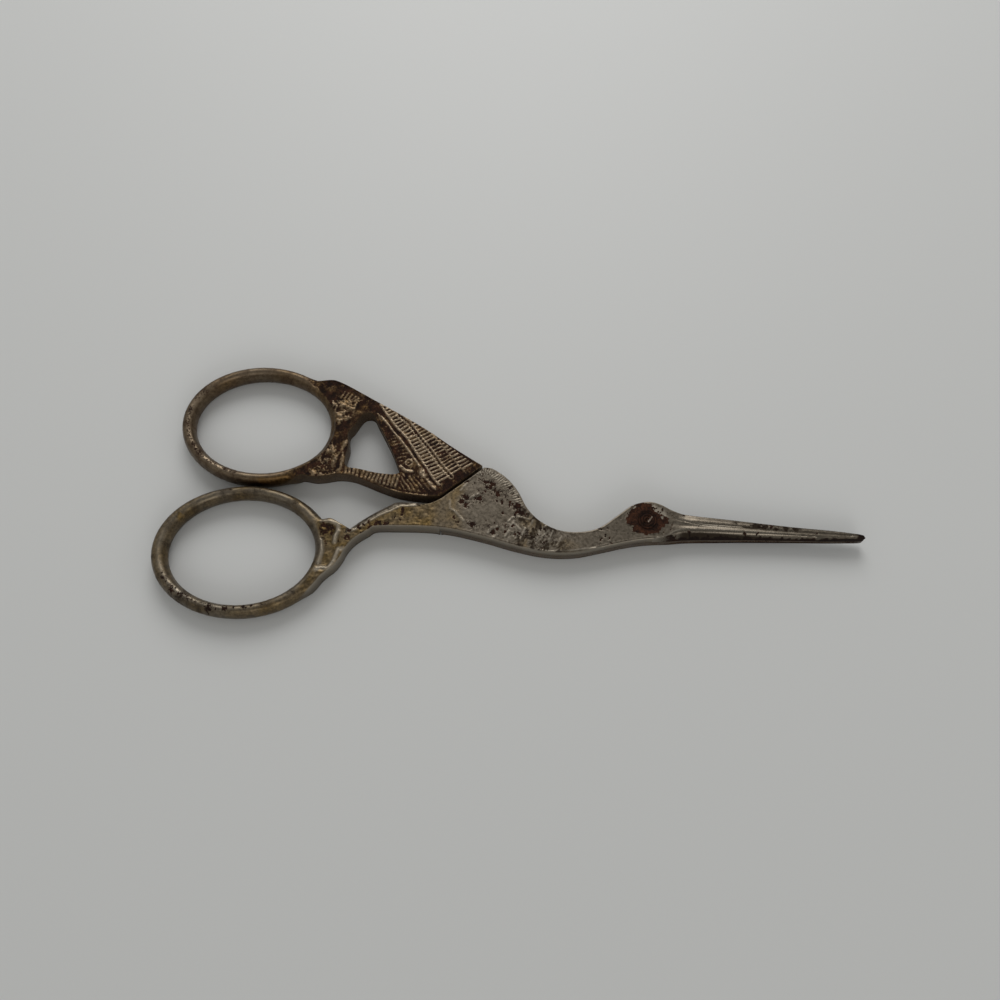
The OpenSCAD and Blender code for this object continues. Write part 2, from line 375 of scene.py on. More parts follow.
def make_solid(name, plan, triangles, region, levels):
    """Closed mesh over the plan. levels[r] holds the top and bottom heights of region r at
    each point of the plan, and walls close every jump between regions."""
    faces = []
    for label, (top, bottom) in levels.items():
        for triangle in triangles[region == label]:
            faces.append([(point, round(top[point], 5)) for point in triangle])
            faces.append([(point, round(bottom[point], 5)) for point in triangle[::-1]])
    sides = {}
    for (a, b, c), label in zip(triangles.tolist(), region.tolist()):
        for edge in ((a, b), (b, c), (c, a)):
            sides[edge] = label
    borders = [(edge, label) for edge, label in sides.items()
               if label >= 0 and sides.get(edge[::-1], -1) != label]
    heights = {}
    for (a, b), label in borders:
        for point in (a, b):
            for other in (label, sides.get((b, a), -1)):
                if other >= 0:
                    heights.setdefault(point, set()).update(
                        round(level[point], 5) for level in levels[other])
    for (a, b), label in borders:
        top, bottom = levels[label]
        other = sides.get((b, a), -1)
        spans = [(bottom, top)]
        if other >= 0:
            spans = [(levels[other][0], top), (bottom, levels[other][1])]
        for low, high in spans:
            if high[a] - low[a] < 1e-4 and high[b] - low[b] < 1e-4:
                continue
            up = [z for z in sorted(heights[b]) if low[b] - 2e-5 < z < high[b] + 2e-5]
            down = [z for z in sorted(heights[a]) if low[a] - 2e-5 < z < high[a] + 2e-5]
            faces.append([(b, z) for z in up] + [(a, z) for z in reversed(down)])
    index, corners = {}, []
    for face in faces:
        for key in face:
            if key not in index:
                index[key] = len(corners)
                corners.append((*plan[key[0]], key[1]))
    mesh = bpy.data.meshes.new(name)
    polygons = []
    for face in faces:
        polygon = list(dict.fromkeys(index[key] for key in face))
        if len(polygon) > 2:
            polygons.append(polygon)
    mesh.from_pydata((np.array(corners) * MM).tolist(), [], polygons)
    mesh.validate()
    mesh.shade_smooth()
    mesh.set_sharp_from_angle(angle=math.radians(SHARP_DEGREES))
    return add_object(name, mesh)


# Shapes of the wire, of rounded edges and of the bill


def ring_place(points, centre, inner, outer, turn):
    """Share across the wire, 0 at the opening and 1 outside, and the angle round the ring."""
    c, s = math.cos(turn), math.sin(turn)
    local = (points - centre) @ np.array([[c, -s], [s, c]])
    past_inner = norm(local / inner) - 1
    to_outer = 1 - norm(local / outer)
    share = past_inner / most(past_inner + to_outer, 1e-6)
    share = np.where(to_outer < 0, 1 - to_outer * 5, share)
    return share, np.degrees(np.arctan2(local[:, 1], local[:, 0]))


def wire_share(points, loops, centre):
    """Share across a ring's wire between its opening and the outline, whatever its width."""
    hole = min(loops[1:], key=lambda loop: norm(loop.mean(0) - centre))
    to_hole = Rim([hole]).distance(points)
    to_edge = Rim([loops[0]]).distance(points)
    return to_hole / most(to_hole + to_edge, 1e-6)


def wire_height(share):
    """Height of the wire's surface over its middle plane."""
    off = np.clip(np.abs(2 * share - 1), 0, 0.999)
    return MID_Z * (1 - off ** 2.3) ** 0.56


def rounding(distance, radius):
    """How far a rounded edge lies below the face, at a distance from the outline."""
    short = most(radius - distance, 0)
    return radius - np.sqrt(most(radius ** 2 - short ** 2, 0))


def foot_radius(q):
    """Rounding of the lower outline, nearly sharp at the step where the halves meet."""
    from_step = np.abs(norm(q) - FRONT_STEP_R)
    return 0.02 + 0.28 * rise(0.15, 0.6, from_step)


BILL_SHARES = (0.1, 0.17, 0.24, 0.3, 0.35, 0.38, 0.43, 0.48, 0.52, 0.56, 0.61, 0.66, 0.71, 0.77, 0.84, 0.91)
FLUTE_ROWS = (-0.06, -0.03, 0, 0.03, 0.06)
RIDGE = [
    (-36.3, -4.3), (-33.5, -4.1), (-30.6, -4.1), (-27.8, -4.3), (-24.9, -4.6), (-22.0, -4.95), (-19.1, -5.4),
    (-16.3, -5.7), (-13.5, -5.8), (-10.7, -5.5), (-6.5, -4.6), (-3.0, -4.0), (-0.9, -3.3),
    (1.2, -2.6), (3.0, -2.0), (3.9, -1.3), (5.1, -0.9),
    (7.5, -0.7), (10.3, -0.55), (13.8, -0.45), (18.7, -0.3), (23.0, -0.2), (31.0, 0.0),
]


def flute_share(x):
    """Where the flute lies across the bill, which narrows towards the middle line."""
    return mix(0.72, 0.57, rise(3.5, 9, x))


def bill_sides(x, loop):
    """The bill's lower and upper outline at each x."""
    tip = loop[np.argmax(loop[:, 0])]
    ahead = loop[loop[:, 0] > PIVOT[0] + 2]
    middle = np.interp(ahead[:, 0], [PIVOT[0], tip[0]], [PIVOT[1], tip[1]])
    sides = []
    for part in (ahead[ahead[:, 1] < middle], ahead[ahead[:, 1] >= middle]):
        part = part[np.argsort(part[:, 0])]
        sides.append(np.interp(x, part[:, 0], part[:, 1]))
    return sides


def bill_share(points, loop):
    """Share across the bill, 0 at its low edge and 1 at its high edge."""
    low, high = bill_sides(points[:, 0], loop)
    return unit((points[:, 1] - low) / most(high - low, 0.05))


def tip_drop(q):
    """How much a blade has thinned at each place ahead of the pivot."""
    reach = TIP_X - PIVOT[0]
    return TIP_DROP * unit((q[:, 0] - TIP_SLOPE_FROM) / (reach - TIP_SLOPE_FROM))


def bevel(q, away, depth):
    """Depth of the round bevel between the ridge and the outline to the right of it."""
    gap, _, side = line_place(q, RIDGE)
    share = np.where(side < 0, gap / (gap + away + 1e-6), 0) * rise(-36.6, -35.2, q[:, 0])
    slope = mix(0.35, depth, rise(-7, 5, q[:, 0]))
    return slope * share ** 2.3, share


def upper_blade(q, away, share):
    """Depth below the top face of the bill's bevel, flute and upper facet."""
    x = q[:, 0]
    low, below = bevel(q, away, THICK - UPPER_BOTTOM - EDGE_FLAT)
    ahead = rise(3.2, 5.5, x)
    facet = rise(0, 1, (share - 0.66) / 0.34) * ahead
    drop = low + tip_drop(q) * (1 - 0.8 * below ** 2.3) + 0.26 * facet * facet
    drop += 0.07 * bump(share - flute_share(x), 0.06) * ahead * fall(12, 19, x)
    drop += 0.08 * bump(share - 0.52, 0.15) * ahead
    return drop


def back_bill_height(q, share):
    """Underside of the lower blade, with its bevel on the high side."""
    face = tip_drop(q)
    edge = LOWER_TOP - EDGE_FLAT
    above = unit((share - 0.6) / 0.4)
    below = unit(1 - share / 0.4)
    return face + (edge - face) * above ** 1.5 + 0.3 * below ** 1.7


# Relief of the front half. Places are in mm from the pivot, and pits are x, y and radius


def strokes(q, lines, width, height):
    """Raised ribs along several lines."""
    result = np.zeros(len(q))
    for line in lines:
        result = most(result, height * bump(line_place(q, line)[0], width))
    return result


def blobs(q, places, seed):
    """Ragged patches, each given as x, y and radius, with specks round them."""
    warped = q + 0.2 * np.c_[noise(q, 0.4, seed + 2), noise(q, 0.4, seed + 3)]
    ragged = np.clip(1.15 + 0.6 * noise(q, 0.25, seed) + 0.4 * noise(q, 0.13, seed + 1), 0.3, 2.2)
    specks = 0.9 * rise(0.35, 0.6, noise(q, 0.17, seed + 4))
    result = np.zeros(len(q))
    for x, y, radius in places:
        gap = np.hypot(warped[:, 0] - x, warped[:, 1] - y) / radius
        result = most(result, fall(0.5, 1.2, gap / ragged), specks * fall(1.4, 2.4, gap))
    return result


SHOULDER = [
    (-25.6, 5.0), (-24.2, 6.1), (-22.6, 6.1), (-20.5, 4.85), (-18.7, 2.95), (-17.1, 0.35), (-15, -1.5),
]
BREAST = (-22.1, -0.8)
NECK_LINE = [(-21.3, -4.2), (-19.0, -3.3), (-16.5, -3.6), (-13.2, -4.0), (-10.5, -4.2), (-7.5, -3.6)]
BREAST_RIMS = [
    [(-28.3, 0.6), (-28.2, -0.6), (-27.4, -1.0), (-26.3, -2.1), (-26.0, -2.4)],
    [(-26.9, 2.3), (-26.2, 3.3)],
    [(-26.6, 0.8), (-25.5, 1.2), (-24.4, 1.9)],
]
NECK_QUILLS = [
    [(-20.0, -4.3), (-19.6, -3.7), (-19.4, -2.9), (-18.9, -1.8)],
    [(-19.0, -2.0), (-18.2, -2.7), (-17.8, -3.1)],
    [(-19.7, -1.9), (-19.1, -1.2), (-18.2, -1.0), (-16.8, -1.3)],
    [(-16.2, -1.4), (-16.4, -2.0), (-16.7, -2.5)],
    [(-15.5, -4.5), (-15.3, -3.8), (-15.1, -3.1), (-14.6, -2.3), (-14.0, -1.8)],
    [(-14.9, -3.9), (-14.2, -3.2), (-13.8, -2.7)],
    [(-22.4, -3.9), (-22.3, -3.5), (-21.9, -3.1), (-21.2, -2.8)],
    [(-21.8, -4.6), (-21.1, -4.1)],
    [(-17.8, -4.3), (-17.5, -3.5), (-17.2, -2.7)],
    [(-13.7, -4.2), (-13.5, -3.4), (-13.3, -2.8)],
    [(-12.6, -4.9), (-12.2, -4.2), (-12.0, -3.5)],
]
BODY_PITS = [
    (-26.1, 1.2, 0.44), (-25.9, 0.1, 0.36), (-24.2, 1.3, 0.41), (-22.6, 3.5, 0.47), (-21.7, 2.3, 0.47),
    (-23.2, 3.2, 0.27), (-23.5, 2.3, 0.16), (-23.5, 3.7, 0.19), (-26.1, 3.6, 0.14), (-21.6, 1.2, 0.22),
    (-20.8, 1.0, 0.19), (-19.6, 0.7, 0.27), (-18.6, 0.5, 0.47), (-17.9, -0.3, 0.41), (-17.3, -0.7, 0.25),
    (-18.7, -0.6, 0.33), (-20.5, -0.7, 0.16), (-27.3, -1.9, 0.22), (-26.9, -2.6, 0.25), (-24.9, -2.8, 0.41),
    (-21.2, -3.1, 0.22), (-21.7, -3.7, 0.33), (-20.0, -3.7, 0.19), (-19.1, -2.6, 0.16), (-18.0, -3.5, 0.19),
    (-16.2, -4.0, 0.22), (-14.4, -4.7, 0.16), (-15.0, -2.7, 0.19), (-14.4, -2.5, 0.18), (-19.7, 3.4, 0.22),
    (-18.6, 2.1, 0.19), (-17.0, -3.8, 0.22), (-18.6, -3.7, 0.19), (-15.5, -3.5, 0.16), (-26.6, 0.6, 0.25),
]
LEG_BLOTS = [
    (-45.6, -4.6, 0.33), (-45.7, -5.7, 0.3), (-44.8, -4.8, 0.27), (-44.7, -5.7, 0.25), (-45.2, -7.0, 0.14),
    (-41.9, -5.2, 0.25), (-40.8, -4.6, 0.3), (-40.1, -4.1, 0.27), (-39.3, -4.6, 0.33), (-40.0, -5.3, 0.25),
    (-40.4, -5.5, 0.19), (-38.5, -4.0, 0.33), (-38.0, -3.6, 0.41), (-38.0, -4.2, 0.3), (-37.1, -3.8, 0.3),
    (-39.4, -3.7, 0.22), (-42.3, -6.3, 0.25), (-42.0, -6.5, 0.19), (-41.2, -7.1, 0.14), (-42.1, -7.6, 0.14),
    (-34.8, -1.5, 0.27), (-34.9, -2.1, 0.25), (-35.7, -2.5, 0.14), (-35.0, -3.1, 0.14), (-43.4, -7.0, 0.16),
]
HEAD_PITS = [
    (-5.5, -1.7, 0.16), (-5.8, -2.8, 0.18), (-6.4, -3.4, 0.18), (-5.0, -3.9, 0.16), (-4.4, -4.5, 0.16),
    (-5.3, -3.3, 0.12), (-6.5, -1.9, 0.21), (3.5, 0.8, 0.14), (3.5, -0.4, 0.18), (3.4, -1.1, 0.19),
    (4.0, -1.8, 0.11), (3.4, -2.3, 0.14), (5.1, -2.1, 0.14), (6.1, -1.1, 0.22), (6.1, -1.7, 0.16),
    (-3.8, 0.0, 0.11), (5.0, 1.4, 0.19), (2.4, -1.6, 0.11), (13.8, -0.6, 0.18),
    (15.6, -0.55, 0.16), (20.3, -0.9, 0.16), (11.0, -1.2, 0.16), (27.6, -0.9, 0.2), (8.6, -1.2, 0.14),
    (17.5, 0.6, 0.3), (18.6, 0.5, 0.25), (13.0, 1.2, 0.2), (24.0, 0.3, 0.16), (22.4, -0.9, 0.16),
]
HEAD_RUST = (-0.1, 0.35, 2.9, 2.55)
RUST_GAPS = [
    (1.6, 1.75, 0.35), (0.9, 2.15, 0.3), (2.3, 1.2, 0.35), (1.2, 1.5, 0.2), (-1.9, 1.9, 0.2), (2.0, 0.5, 0.2),
]
BILL_LINE = [(3.2, -0.3), (4.2, -0.05), (6.0, -0.1), (9.0, -0.12), (14.0, -0.15)]
CLAW_RIMS = [
    [(-45.9, -7.0), (-45.5, -8.5), (-45.7, -10.3)],
    [(-46.1, -4.0), (-45.0, -3.9), (-43.7, -4.4), (-43.6, -5.3), (-43.9, -6.1), (-43.9, -7.0)],
    [(-41.5, -7.9), (-43.2, -8.1), (-43.4, -8.8), (-43.6, -9.8), (-44.2, -10.9)],
    [(-45.9, -11.3), (-45.3, -11.0), (-43.9, -11.0)],
]
CLAW_MIDDLE = [(-45.2, -5.0), (-44.6, -7.5), (-44.8, -10.0)]
LEG_TOP_LINE = [
    (-41.9, -5.3), (-41.2, -5.0), (-39.7, -3.8), (-38.0, -2.5), (-36.4, -1.6), (-35.3, -0.9), (-33.2, -0.6),
]
LEG_LOW_LINE = [(-42.2, -8.1), (-41.3, -7.4), (-40.3, -6.4), (-39.0, -5.4), (-37.7, -4.7), (-36.3, -4.3)]


def front_relief(q, bill):
    """Height over the face of the front half, and the masks of its finish, with painted highlight lines and
    painted shade on the bill.
    """
    x, y = q.T
    rough = noise(q, 0.5, 1) + 0.6 * noise(q, 0.26, 2)
    body = rise(-30, -27, x) * fall(-13, -8, x)
    leg = fall(-31, -28, x)
    gap, along, _ = line_place(q, SHOULDER)
    oval = rise(0.7, 1.2, np.hypot((x - BREAST[0]) / 2.3, (y - BREAST[1]) / 1.6))
    fan = bump(np.mod(along + 0.25 * gap + 0.07 * noise(q, 0.7, 3), 0.37) - 0.185, 0.17)
    fan *= rise(0.1, 0.35, gap) * fall(0.8, 1.7, gap + 0.25 * rough) * rise(0.3, 1.2, along)
    fan *= fall(10.3, 11.3, along)
    neck, way, _ = line_place(q, NECK_LINE)
    quills = strokes(q, NECK_QUILLS, 0.27, 1) * (0.8 + 0.2 * rough)
    scales = bump(np.mod(way + 0.8 * neck + 0.3 * noise(q, 0.7, 4), 0.72) - 0.36, 0.26)
    scales *= fall(1.0, 1.8, neck) * rise(0.4, 1.5, way) * fall(9, 13, way)
    rims = strokes(q, BREAST_RIMS, 0.3, 1)
    wear_and_sheen = most(0.65 * fan, 0.85 * quills, 0.35 * scales, 0.6 * rims)
    wear_and_sheen *= unit(0.75 + 0.3 * noise(q, 0.3, 37) + 0.15 * noise(q, 0.15, 38))
    claw = fall(0.9, 1.7, line_place(q, CLAW_MIDDLE)[0])
    claw_rims = strokes(q, CLAW_RIMS, 0.55, 1)
    pits = most(blobs(q, BODY_PITS, 10), blobs(q, LEG_BLOTS, 20), blobs(q, HEAD_PITS, 24))
    height = body * oval * (0.012 * rough + 0.06 * wear_and_sheen) - 0.035 * pits - 0.05
    height += leg * 0.025 * rough - 0.34 * claw * (1 - claw_rims) - 0.02 * claw_rims
    top_gap, _, top_side = line_place(q, LEG_TOP_LINE)
    strip = ((top_side > 0) & (x > -42.5) & (x < -32)).astype(float) * rise(0.05, 0.2, top_gap)
    strip *= fall(1.2, 1.6, top_gap)
    height -= 0.3 * strip * unit(top_gap)
    leg_line = strokes(q, [LEG_TOP_LINE, LEG_LOW_LINE], 0.28, 1)
    height += 0.05 * leg_line
    head = np.hypot((x - HEAD_RUST[0]) / HEAD_RUST[2], (y - HEAD_RUST[1]) / HEAD_RUST[3])
    ragged = head + 0.17 * noise(q, 0.55, 5) + 0.13 * noise(q, 0.24, 6)
    flaked = blobs(q, RUST_GAPS, 44)
    head = fall(0.84, 1.1, ragged) * (1 - 0.85 * flaked)
    height += head * (0.015 + 0.025 * noise(q, 0.25, 7))
    tip = rise(29.0, 30.2, x + 0.5 * noise(q, 0.4, 8))
    stain = rise(11.0, 13.5, x) * fall(20, 25, x) * rise(-0.3, 0.4, y)
    stain = stain * rise(-0.25, 0.35, noise(q, 0.7, 33) + 0.5 * noise(q, 0.3, 34) + 0.1)
    freckles = rise(0.38, 0.62, noise(q, 0.3, 9) * rise(-0.2, 0.5, noise(q, 2.0, 30)))
    speckled = 0.16 + 0.1 * noise(q, 1.4, 39) + body * oval * (0.1 + 0.12 * noise(q, 0.8, 40))
    claw_dirt = claw * rise(-10.5, -5.5, y) * rise(-0.5, 0.5, noise(q, 0.55, 45) + 0.5 * noise(q, 0.22, 46))
    rust = most(0.85 * pits, head, 0.5 * freckles * body, 0.5 * stain, 0.75 * tip, speckled,
                0.62 * claw_dirt * (1 - claw_rims))
    soot = most(tip, stain, 0.35 * rise(14, 26, x) * rise(-0.3, 0.6, noise(q, 0.6, 35)))
    neck_dirt = body * oval * rise(-19.5, -18, x) * (1 - wear_and_sheen) * rise(-0.6, 0.4, rough) * 0.85
    neck_dirt *= fall(0.2, 1.4, y)
    ridge_gap, _, ridge_side = line_place(q, RIDGE)
    on_bill = rise(3.5, 5.5, x)
    # The last term paints shade on the bill's lower bevel, below the ridge.
    deep = most(
        neck_dirt, leg * (1 - leg_line) * rise(0.2, 1.2, -rough) * 0.5,
        0.3 * body * oval * rise(0.1, 0.9, -rough), soot, 0.55 * pits, 0.5 * freckles * body,
        0.6 * claw_dirt * (1 - claw_rims), 0.6 * head * bump(np.hypot(x, y) - 1.4, 0.35),
        rise(0.22, 0.6, ridge_gap) * (ridge_side < 0) * on_bill)
    gold = leg * (1 - strip) + (1 - leg) * body * fall(-29, -25.5, x + 0.8 * noise(q, 1.0, 36))
    gold = most(gold, 0.5 * body * rise(-0.1, 0.5, noise(q, 1.6, 32)) * rise(-19, -17, x))
    # Painted highlight: a thin bright line along the ridge of the belly and the bill.
    painted_ridge_highlight = bump(ridge_gap, mix(0.14, 0.3, on_bill)) * rise(-37, -34, x) * mix(1, 0.5, on_bill)
    painted_ridge_highlight *= 1 - 0.8 * rise(12, 24, x)
    # Painted highlights: thin bright lines along the flute and along the bill's line.
    painted_line_highlights = most(0.5 * bump(bill - flute_share(x) - 0.04, 0.05), strokes(q, [BILL_LINE], 0.16, 0.4))
    painted_line_highlights *= on_bill * fall(9, 14, x)
    polish = most(rise(3.0, 5.5, x), 0.3 * (1 - oval), 0.6 * rise(-10, -7, x)) * (1 - head) * (1 - soot)
    wear_and_sheen = most(0.8 * wear_and_sheen * body, 0.7 * claw_rims, 0.6 * leg_line, 0.7 * painted_ridge_highlight, painted_line_highlights,
                0.45 * flaked)
    return height, named(rust, unit(gold), unit(deep), wear_and_sheen * (1 - 0.8 * pits), polish)


# Relief of the back half, with places in mm from the pivot

RIB_A = [(-39.9, 13.1), (-38.7, 11.9), (-37.5, 10.5), (-36.3, 9.3), (-35.3, 8.1), (-34.4, 7.0), (-33.3, 5.6)]
RIB_B = [
    (-40.2, 15.0), (-39.2, 13.7), (-37.3, 11.5), (-35.6, 9.9), (-34.0, 7.7), (-32.5, 5.8), (-31.0, 3.8),
    (-30.1, 2.9),
]
LINE_C = [(-37.4, 13.6), (-35.8, 12.5), (-33.9, 10.3), (-32.0, 8.2), (-30.3, 6.1), (-28.5, 4.3)]
LINE_D = [(-32.0, 10.8), (-29.9, 8.6), (-28.7, 7.4), (-27.5, 6.0), (-26.4, 5.0)]
WING_RIM = [(-40.2, 15.2), (-36.8, 13.3), (-32.8, 11.2), (-28.6, 8.7), (-26.0, 7.0), (-24.6, 6.2)]
FRAME_EDGE = [(-39.6, 11.6), (-38.4, 9.1), (-37.3, 7.1), (-36.2, 4.8)]
SEAM = [(-30.2, 1.2), (-27.5, 3.5), (-24.3, 6.5)]
LEG_UNDER = [
    (-46.0, 2.8), (-43.8, 2.7), (-41.9, 2.6), (-39.8, 2.1), (-37.8, 1.7), (-35.6, 1.3), (-33.8, 1.1),
    (-31.9, 1.1),
]
LEAF = [(-32.9, 4.8), (-32.3, 3.8), (-31.6, 2.9), (-31.0, 2.3)]
LEAF_GROOVE = [(-32.5, 3.7), (-31.5, 2.5), (-30.6, 1.7)]
KNUCKLE_PATCHES = [
    (-46.9, 3.0, 0.9), (-48.6, 3.2, 0.5), (-46.6, 7.0, 0.8), (-47.3, 5.6, 0.6), (-45.4, 3.0, 0.5),
]
CRESCENT = [(-36.0, 5.4), (-35.3, 4.8), (-34.3, 4.7)]
CURL = (-34.9, 6.0)
ARC_CENTRE = (-37.2, 3.4)
SLANT_BARS = [[(x, 15.7 - 0.08 * i), (x + 0.5, 16.8 - 0.25 * i)]
              for i, x in enumerate(np.arange(-46.3, -43.4, 0.55))]
JUNCTION_RIBS = [
    [(-44.5, 8.6), (-45.0, 7.1), (-45.7, 5.9), (-45.8, 4.6)],
    [(-44.7, 6.8), (-44.7, 4.7), (-45.0, 3.9)],
]
PLAQUE = np.array([(-47.6, 15.2), (-43.6, 15.6), (-44.2, 12.6), (-46.4, 10.7)])


def column(q, left, right, pitch, reach=(0.06, 0.94)):
    """Bars across the column between two lines."""
    near, along, side = line_place(q, left)
    far, _, other = line_place(q, right)
    share = near / most(near + far, 1e-6)
    phase = np.mod(along - 0.14 * near + 0.06 * noise(q, 1.5, 40), pitch) / pitch
    bars = bump(phase - 0.5, 0.42)
    within = ((side > 0) & (other < 0)).astype(float)
    return bars * within * rise(0, reach[0], share) * fall(reach[1], 1, share)


def wing_relief(q):
    """Height over the face of the back half, and the masks of its finish."""
    x, y = q.T
    rough = noise(q, 0.5, 51) + 0.6 * noise(q, 0.25, 52)
    main = column(q, RIB_B, LINE_C, 0.6)
    second = column(q, LINE_C, LINE_D, 0.58)
    third = column(q, LINE_D, WING_RIM, 0.62)
    first = column(q, FRAME_EDGE, RIB_A, 0.55, (0.3, 0.9))
    wear_and_sheen = rise(-0.2, 0.5, noise(q, 1.6, 53) + 0.35)
    bars = most(main, (0.45 + 0.4 * wear_and_sheen) * second, 0.95 * third, 0.4 * first * wear_and_sheen * (0.7 + 0.4 * rough))
    groove_c = line_place(q, LINE_C)[0]
    double = bump(groove_c - 0.3, 0.2) - 1.2 * bump(groove_c, 0.18)
    ribs = most(strokes(q, [RIB_A], 0.28, 0.7), strokes(q, [RIB_B], 0.3, 0.85), 0.8 * double,
                strokes(q, [LINE_D], 0.24, 0.5))
    seam_gap = line_place(q, SEAM)[0]
    band = fall(0.5, 1.4, seam_gap + 0.25 * noise(q, 0.5, 54))
    under, along, _ = line_place(q, LEG_UNDER)
    leg = fall(2.2, 2.8, under) * rise(1.4, 2.6, along) * fall(9.4, 10.4, along)
    rings = np.sqrt(bump(np.mod(along + 0.06 * noise(q, 0.6, 55), 0.58) / 0.58 - 0.5, 0.46))
    rings = rings * rise(0.35, 0.6, under)
    arcs = np.hypot(x - ARC_CENTRE[0], (y - ARC_CENTRE[1]) * 0.8)
    fan = rise(1.2, 1.8, arcs) * fall(4.8, 5.6, arcs) * fall(3.6, 4.4, y) * rise(-36.4, -35.6, x)
    slant = bump(np.mod(0.77 * x + 0.64 * y + 0.15 * noise(q, 0.8, 59), 0.52) / 0.52 - 0.5, 0.42)
    rings = np.where(fan > 0.3, (0.6 + 0.4 * rough) * slant * rise(0.3, 0.6, under), rings)
    rings *= most(leg, fan)
    curl = np.hypot(x - CURL[0], y - CURL[1])
    junction = fall(-42.6, -41.6, x)
    plaque = inside(q, PLAQUE).astype(float) * rise(-1.1, 0.9, rough + 0.7 * noise(q, 0.2, 60))
    patches = blobs(q, KNUCKLE_PATCHES, 58) * rise(-0.6, 0.2, rough)
    lit = most(
        bars * (1 - band), unit(ribs) * (1 - 0.6 * band), 0.8 * rings,
        np.sqrt(strokes(q, [LEAF], 0.7, 1)) * (0.62 + 0.2 * rough), strokes(q, [CRESCENT], 0.42, 0.75),
        0.5 * bump(curl - 0.5, 0.26), strokes(q, SLANT_BARS, 0.24, 0.6),
        strokes(q, JUNCTION_RIBS, 0.5, 0.65) * (0.75 + 0.3 * rough), 0.62 * plaque * junction,
        strokes(q, [LEG_UNDER], 0.22, 0.5), 0.55 * patches)
    lit = lit * (0.82 + 0.25 * noise(q, 0.3, 57) + 0.15 * noise(q, 0.15, 61))
    lit = lit - bump(line_place(q, LEAF_GROOVE)[0], 0.25)
    lit = unit(lit)
    height = -0.2 + 0.18 * lit + 0.035 * rough - 0.1 * unit(-ribs)
    rust = unit(0.62 + 0.25 * noise(q, 0.9, 56) - 0.9 * lit)
    deep = unit(0.55 - 1.3 * lit - 0.45 * rough)
    golden = most(leg, fan, 0.8 * junction)
    tint = unit(0.95 - 0.6 * lit * (1 - golden))
    return height, named(rust, tint, deep, lit * (0.95 - 0.55 * golden), 0 * x)


# Finish of the two rings: places of pits and of the golden spot, as x, y and radius

FRONT_RING_PITS = [
    (-59.8, -18.0, 0.42), (-57.5, -18.0, 0.3), (-56.3, -17.8, 0.2), (-55.0, -17.5, 0.24), (-53.8, -17.2, 0.2),
    (-52.4, -17.0, 0.15), (-64.2, -16.6, 0.25), (-65.2, -16.1, 0.3), (-66.8, -14.3, 0.2),
    (-67.2, -13.7, 0.15), (-58.6, -18.2, 0.15), (-54.4, -17.6, 0.12),
]
GOLD_SPOT = (-66.3, -5.05, 0.55)


def ring_finish(points, share, angle, seed, dirty_from, dirty_to):
    """Masks of a ring: small pits along its crest on one stretch, and a brown tint that comes and goes."""
    stretch = window(dirty_from, dirty_to, 25, angle)
    cloud = noise(points, 1.1, seed) + 0.5 * noise(points, 0.5, seed + 1)
    pits = 0.2 + 0.28 * stretch * bump(share - 0.45, 0.35) + 0.12 * cloud
    tint = unit(0.6 + 0.6 * noise(points, 3.0, seed + 2)) * (1 - 0.7 * stretch)
    deep = unit(0.3 + 0.3 * cloud)
    wear_and_sheen = (0.25 + 0.25 * stretch) * bump(share - 0.42, 0.3)
    return named(np.clip(pits, 0, 0.5), tint, deep, wear_and_sheen, np.full(len(points), 0.1))


# Points of the plan, and the walls and rims of the two halves


def blend_ring(share, angle, low, high):
    """1 on the flat parts and 0 on the wire, with a soft step where a claw grips the ring."""
    grip = window(low, high, 7, angle)
    return np.where(share > 1, most(grip, rise(1.6, 2.6, share)), grip * rise(0.3, 0.6, share))


def fill_points(loops, rim, spacings):
    """Honeycomb points inside the loops, as fine as each spacing's test asks."""
    found = []
    for spacing, wanted in spacings:
        grid = honeycomb(loops[0].min(0), loops[0].max(0), spacing)
        grid = grid[wanted(grid)]
        grid = grid[within(grid, loops)]
        found.append(grid[rim.distance(grid) > RIM_STEPS[-1] + 0.4 * spacing])
    return np.concatenate(found)


def ring_rows(centre, inner, outer, turn):
    """Points in rows round the wire of a ring, so that its crest is a clean line."""
    angle = turns(WIRE_TURNS)
    c, s = math.cos(turn), math.sin(turn)
    rows = []
    for share in WIRE_SHARES:
        half = mix(inner, outer, share)
        local = np.c_[half[0] * np.cos(angle), half[1] * np.sin(angle)]
        rows.append(local @ np.array([[c, s], [-s, c]]) + centre)
    return np.concatenate(rows)


def bill_rows(loop, rim):
    """Points in rows along the bill, so that its ridge and flute are clean lines."""
    x = np.arange(PIVOT[0] + 5.4, TIP_X - 0.4, 0.22)
    low, high = bill_sides(x, loop)
    rows = [np.c_[x, mix(low, high, share)] for share in BILL_SHARES]
    for off in FLUTE_ROWS:
        share = flute_share(x - PIVOT[0]) + off
        rows.append(np.c_[x, mix(low, high, share)][x < PIVOT[0] + 19])
    rows = np.concatenate(rows)
    return rows[rim.distance(rows) > 0.33]


def fuller_bill(plan, loop):
    """The plan with the bill a little wider towards its blunt tip."""
    q = plan - PIVOT
    low, high = bill_sides(plan[:, 0], loop)
    middle = (low + high) / 2
    wider = 0.05 * rise(6, 12, q[:, 0]) + 0.3 * rise(20, 29, q[:, 0])
    return np.c_[plan[:, 0], plan[:, 1] + (plan[:, 1] - middle) * wider]


def rim_wear_and_painted_light(masks, away, light, dirt_and_shade_tone):
    """The masks with a lighter rim, for worn edges and a painted highlight line, and a darker rim, for dirt and
    painted shade, each by the level given.
    """
    return merge(named(0.2, 0.35, dirt_and_shade_tone, light, 0.3), masks, rise(0.0, 0.13, away))


